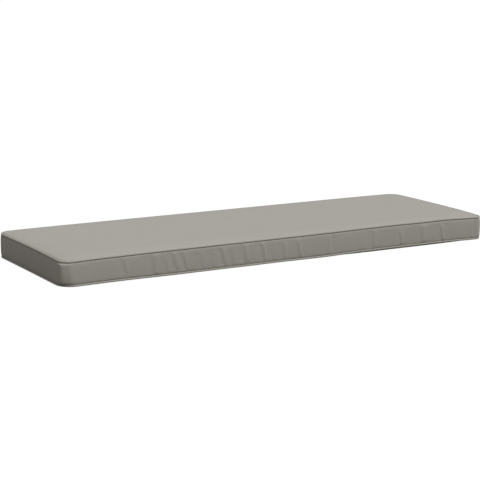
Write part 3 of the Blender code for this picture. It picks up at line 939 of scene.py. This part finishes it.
class MakePiping(bpy.types.Operator):
    """Make the upper and the lower piping"""

    bl_idname = "cushion.piping"
    bl_label = "Piping"

    def execute(self, context):
        sizes = context.scene.cushion_sizes
        colour = context.scene.cushion_colours.piping
        tree = piping_tree()
        for name, node, upper in PIPINGS:
            cover = woven_cloth(name + "_cloth", context.scene, colour, bias=True)
            values = {
                "Radius": sizes.piping_radius - sizes.piping_wave / 2 - (0 if upper else LOWER_PRESS),
                "Sides": sizes.piping_sides,
                "Wave depth": sizes.piping_wave,
                "Wave size": PIPING_WAVE_SIZE,
                "Cover": cover,
            }
            piece = follow_path(name, seam_path(context, upper), tree, values)
            piece.data.shade_smooth()
            fit_piece(piece, cover, "piping_cloth", node)
        return {"FINISHED"}


class MakeStitches(bpy.types.Operator):
    """Make the stitches that show in the seams beside the pipings"""

    bl_idname = "cushion.stitches"
    bl_label = "Seam stitches"

    def execute(self, context):
        sizes = context.scene.cushion_sizes
        tree = stitch_tree()
        thread = sewing_thread(context.scene.cushion_colours.thread)
        for seed, seam in enumerate(SEAMS):
            values = {
                "Pitch": sizes.stitch_pitch,
                "Length": sizes.stitch_length,
                "Thread radius": sizes.thread_radius,
                "Seed": SEED + seed,
                "Thread": thread,
            }
            path = seam_path(context, seam.upper, seam.inwards, seam.upwards)
            piece = follow_path(seam.name, path, tree, values)
            piece.data.shade_smooth()
            fit_piece(piece, thread, "piping_cloth")
        return {"FINISHED"}


# ---------------------------------------------------------------- cloth material


def math_method(operation, reflected=False):
    """A method that adds a Math node of an operation to a signal's own nodes."""

    def method(self, *others):
        operands = (*others, self) if reflected else (self, *others)
        return self.math(operation, *operands)

    return method


class Signal:
    """A node's output on which Python's operators work, each adding a Math node."""

    def __init__(self, nodes, socket):
        self.nodes = nodes
        self.socket = socket

    def other(self, key):
        """Another output of the same node, by name or number."""
        return Signal(self.nodes, self.socket.node.outputs[key])

    def math(self, operation, *operands):
        """The output of a Math node with these operands."""
        return self.nodes.add("ShaderNodeMath", {"operation": operation}, dict(enumerate(operands)))

    # A sum and a product are the same both ways round.
    __add__ = __radd__ = math_method("ADD")
    __mul__ = __rmul__ = math_method("MULTIPLY")
    __sub__ = math_method("SUBTRACT")
    __rsub__ = math_method("SUBTRACT", reflected=True)
    __truediv__ = math_method("DIVIDE")
    __rtruediv__ = math_method("DIVIDE", reflected=True)
    __pow__ = math_method("POWER")
    __mod__ = math_method("FLOORED_MODULO")
    __abs__ = math_method("ABSOLUTE")
    __floor__ = math_method("FLOOR")

    def wave(self):
        """Height of a row of round yarns, one to each unit, from 0 between them to 1."""
        return abs(self.math("SINE", self * math.pi))


class Nodes:
    """The nodes of a tree, all added by one method."""

    def __init__(self, tree):
        self.tree = tree
        tree.nodes.clear()

    @classmethod
    def for_material(cls, name):
        """A new material and its empty tree."""
        material = bpy.data.materials.new(name)
        material.use_nodes = True
        return material, cls(material.node_tree)

    @classmethod
    def for_geometry(cls, name, inputs):
        """A new geometry tree with named inputs, and the signal of what it is given."""
        tree = bpy.data.node_groups.new(name, "GeometryNodeTree")
        tree.interface.new_socket("Geometry", in_out="OUTPUT", socket_type="NodeSocketGeometry")
        tree.interface.new_socket("Geometry", in_out="INPUT", socket_type="NodeSocketGeometry")
        for label, kind in inputs.items():
            tree.interface.new_socket(label, in_out="INPUT", socket_type="NodeSocket" + kind)
        nodes = cls(tree)
        return nodes, nodes.add("NodeGroupInput")

    def add(self, kind, settings=None, sockets=None):
        """The first output of a new node: its settings, then its sockets' values or links."""
        node = self.tree.nodes.new(kind)
        for name, value in (settings or {}).items():
            setattr(node, name, value)
        for key, value in (sockets or {}).items():
            if isinstance(value, Signal):
                self.tree.links.new(value.socket, node.inputs[key])
            else:
                node.inputs[key].default_value = value
        return Signal(self, node.outputs[0]) if node.outputs else None

    def finished(self, geometry, material):
        """The geometry tree, ended with a plain mesh that has its material."""
        geometry = self.add("GeometryNodeRealizeInstances", {}, {"Geometry": geometry})
        given = {"Geometry": geometry, "Material": material}
        geometry = self.add("GeometryNodeSetMaterial", {}, given)
        self.add("NodeGroupOutput", {}, {"Geometry": geometry})
        return self.tree

    def finish_surface(self, sockets):
        """End a material's tree in a Principled BSDF with these sockets."""
        shader = self.add("ShaderNodeBsdfPrincipled", {}, sockets)
        self.add("ShaderNodeOutputMaterial", {}, {"Surface": shader})

    def noise(self, vector, scale, detail):
        """Smooth noise from 0 to 1."""
        return self.add("ShaderNodeTexNoise", {}, {"Vector": vector, "Scale": scale, "Detail": detail})

    def vector(self, x, y, z=0.0):
        """A vector of three values."""
        return self.add("ShaderNodeCombineXYZ", {}, {"X": x, "Y": y, "Z": z})

    def tinted(self, colour, amount):
        """A colour made lighter or darker by an amount that varies."""
        scaled = {"operation": "SCALE"}
        return self.add("ShaderNodeVectorMath", scaled, {0: tuple(colour), "Scale": amount})

    def attribute(self, name):
        """A stored length, in a geometry tree."""
        return self.add("GeometryNodeInputNamedAttribute", {"data_type": "FLOAT"}, {"Name": name})

    def store(self, geometry, name, value, settings):
        """Geometry with a value stored on it under a name."""
        sockets = {"Geometry": geometry, "Name": name, "Value": value}
        return self.add("GeometryNodeStoreNamedAttribute", settings, sockets)


# The cloth's look: how much its yarns, slubs, mottling and wear change its tone, its
# roughness and its relief, and how it shines.
GAP_DARKNESS = 0.16
YARN_DIFFERENCE = 0.05
SLUB_CONTRAST = 0.10
SLUB_LENGTH = 0.035
MOTTLE_CONTRAST = 0.030
MOTTLE_SCALE = 9.0
WEAR_SCALE = 26.0
WEAR_CONTRAST = 0.020
ROUGHNESS_RANGE = 0.10
YARN_RELIEF = 0.22 * MM
YARN_BUMP = 0.35
SLUB_RELIEF = 0.5
SHEEN = 0.10
SHEEN_ROUGHNESS = 0.5
CLOTH_SPECULAR = 0.25
# How soon a yarn dips where it passes under its neighbours.
OVER_POWER = 0.45


def woven_cloth(name, scene, colour, bias=False):
    """Plain weave of slubby yarn, laid by the piece's own UV map in metres."""
    pitch = scene.cushion_sizes.yarn_pitch
    material, nodes = Nodes.for_material(name)
    laid = nodes.add("ShaderNodeUVMap", {"uv_map": "Cloth"})
    if bias:
        turned = {"rotation_type": "Z_AXIS"}
        laid = nodes.add("ShaderNodeVectorRotate", turned, {"Vector": laid, "Angle": math.radians(45)})
    along = nodes.add("ShaderNodeSeparateXYZ", {}, {0: laid})
    across = along.other("Y")
    warp = along / pitch
    weft = across / pitch
    warp_over = (math.floor(warp) + math.floor(weft)) % 2.0
    warp_yarn = warp.wave() * weft.wave() ** OVER_POWER
    weft_yarn = weft.wave() * warp.wave() ** OVER_POWER
    yarn = warp_yarn * warp_over + weft_yarn * (1 - warp_over)
    slub_scale = 1 / SLUB_LENGTH
    warp_slub = nodes.noise(nodes.vector(math.floor(warp), across * slub_scale), 1.0, detail=1.0)
    weft_slub = nodes.noise(nodes.vector(along * slub_scale, math.floor(weft)), 1.0, detail=1.0)
    slub = warp_slub * warp_over + weft_slub * (1 - warp_over)
    mottle = nodes.noise(laid, MOTTLE_SCALE, detail=3.0)
    wear = nodes.noise(laid, WEAR_SCALE, detail=4.0)
    tone = 1 - GAP_DARKNESS * (1 - yarn)
    tone = tone + YARN_DIFFERENCE * (warp_over - 0.5)
    tone = tone + SLUB_CONTRAST * (slub - 0.5)
    tone = tone + MOTTLE_CONTRAST * (mottle - 0.5) + WEAR_CONTRAST * (wear - 0.5)
    roughness = scene.cushion_colours.roughness + ROUGHNESS_RANGE * (slub - 0.5)
    height = yarn + slub * SLUB_RELIEF
    relief = {"Height": height, "Distance": YARN_RELIEF, "Strength": YARN_BUMP}
    surface = {
        "Base Color": nodes.tinted(colour, tone),
        "Roughness": roughness,
        "Normal": nodes.add("ShaderNodeBump", {}, relief),
        "Sheen Weight": SHEEN,
        "Sheen Roughness": SHEEN_ROUGHNESS,
        "Specular IOR Level": CLOTH_SPECULAR,
    }
    nodes.finish_surface(surface)
    return material


# The thread's look: the size of its twist and how much it darkens between the plies.
TWIST_SCALE = 1800.0
TWIST_CONTRAST = 0.30
THREAD_ROUGHNESS = 0.7
THREAD_SPECULAR = 0.4


def sewing_thread(colour):
    """Twisted thread, patterned by its place."""
    material, nodes = Nodes.for_material("sewing_thread")
    place = nodes.add("ShaderNodeTexCoord").other("Object")
    twist = nodes.noise(place, TWIST_SCALE, detail=1.0)
    surface = {
        "Base Color": nodes.tinted(colour, 1 + TWIST_CONTRAST * (twist - 0.5)),
        "Roughness": THREAD_ROUGHNESS,
        "Specular IOR Level": THREAD_SPECULAR,
    }
    nodes.finish_surface(surface)
    return material


# ---------------------------------------------------------------- stage


FLOOR_SIZE = 160.0
# The floor lies this far below the cushion, so that the two faces don't coincide.
FLOOR_DROP = 0.3 * MM
WHITE = (1.0, 1.0, 1.0, 1.0)
# The camera's sensor in millimetres, and how far it sees in metres.
SENSOR_WIDTH = 36.0
VIEW_REACH = 500.0


def make_floor(studio):
    """A wide pale floor, which looks white and throws a little light back."""
    half = FLOOR_SIZE / 2
    outline = ((-half, -half), (half, -half), (half, half), (-half, half))
    corners = [(*corner, -FLOOR_DROP) for corner in outline]
    mesh = bpy.data.meshes.new("floor")
    mesh.from_pydata(corners, [], [(0, 1, 2, 3)])
    floor = add_object("floor", mesh)
    material, nodes = Nodes.for_material("pale_floor")
    shade = (studio.floor_shade,) * 3
    matt = nodes.add("ShaderNodeBsdfDiffuse", {}, {"Color": (*shade, 1.0)})
    glow = nodes.add("ShaderNodeEmission", {}, {"Color": WHITE, "Strength": studio.floor_glow})
    seen = nodes.add("ShaderNodeAddShader", {}, {0: matt, 1: glow})
    lit = nodes.add("ShaderNodeBsdfDiffuse", {}, {"Color": (*studio.bounce, 1.0)})
    path = nodes.add("ShaderNodeLightPath")
    shader = nodes.add("ShaderNodeMixShader", {}, {0: path, 1: lit, 2: seen})
    nodes.add("ShaderNodeOutputMaterial", {}, {"Surface": shader})
    mesh.materials.append(material)


def make_sky(scene, studio):
    """Even light from all round, and white where the camera meets it."""
    world = bpy.data.worlds.new("studio")
    scene.world = world
    world.use_nodes = True
    nodes = Nodes(world.node_tree)
    lit = nodes.add("ShaderNodeBackground", {}, {"Color": WHITE, "Strength": studio.sky})
    seen = nodes.add("ShaderNodeBackground", {}, {"Color": WHITE})
    path = nodes.add("ShaderNodeLightPath")
    sky = nodes.add("ShaderNodeMixShader", {}, {0: path, 1: lit, 2: seen})
    nodes.add("ShaderNodeOutputWorld", {}, {"Surface": sky})


def make_key(studio):
    """One wide soft light from above, the front and a little to the right."""
    light = bpy.data.lights.new("key", "SUN")
    light.energy = studio.key_strength * math.pi
    light.angle = studio.key_spread
    lamp = add_object("key", light)
    lamp.rotation_mode = "QUATERNION"
    lamp.rotation_quaternion = Vector(studio.key_from).to_track_quat("Z", "Y")


def make_camera(scene, studio):
    """The camera at the photograph's viewing angle."""
    camera = add_object("camera", bpy.data.cameras.new("camera"))
    camera.data.lens = studio.lens
    camera.data.sensor_width = SENSOR_WIDTH
    camera.data.clip_end = VIEW_REACH
    turned = Matrix.Rotation(-studio.yaw, 4, "Z") @ Matrix.Rotation(math.pi / 2 - studio.pitch, 4, "X")
    turned = turned @ Matrix.Rotation(studio.roll, 4, "Z")
    camera.matrix_world = Matrix.Translation(studio.place) @ turned
    scene.camera = camera


class SetStage(bpy.types.Operator):
    """Set the floor, the light and the camera"""

    bl_idname = "cushion.stage"
    bl_label = "Stage"

    def execute(self, context):
        studio = context.scene.cushion_studio
        make_floor(studio)
        make_sky(context.scene, studio)
        make_key(studio)
        make_camera(context.scene, studio)
        context.scene.view_settings.view_transform = "Standard"
        return {"FINISHED"}


# ---------------------------------------------------------------- add-on


OPERATORS = (SetStage, MakeFilledCushion, MakeBoxing, MakePiping, MakeStitches)
GROUPS = {
    "cushion_sizes": CushionSizes,
    "cushion_colours": CushionColours,
    "cushion_studio": StudioSettings,
}


class CushionPanel(bpy.types.Panel):
    """Lists the cushion's pieces and settings"""

    bl_idname = "VIEW3D_PT_cushion"
    bl_label = "Bench Cushion"
    bl_space_type = "VIEW_3D"
    bl_region_type = "UI"
    bl_category = "Cushion"

    def draw(self, context):
        layout = self.layout
        for operator in OPERATORS:
            layout.operator(operator.bl_idname)
        for group in (getattr(context.scene, name) for name in GROUPS):
            box = layout.box()
            for name in group.bl_rna.properties.keys():
                if name not in {"rna_type", "name"}:
                    box.prop(group, name)


def register():
    """Register the settings, the operators and the panel."""
    for name, group in GROUPS.items():
        bpy.utils.register_class(group)
        setattr(bpy.types.Scene, name, PointerProperty(type=group))
    for item in (*OPERATORS, CushionPanel):
        bpy.utils.register_class(item)


def unregister():
    """Undo the registration."""
    for item in (CushionPanel, *reversed(OPERATORS)):
        bpy.utils.unregister_class(item)
    for name, group in GROUPS.items():
        delattr(bpy.types.Scene, name)
        bpy.utils.unregister_class(group)


def main():
    """Build every piece in order."""
    register()
    bpy.ops.cushion.stage()
    bpy.ops.cushion.filled_cushion()
    bpy.ops.cushion.boxing_strip()
    bpy.ops.cushion.piping()
    bpy.ops.cushion.stitches()


if __name__ == "__main__":
    main()
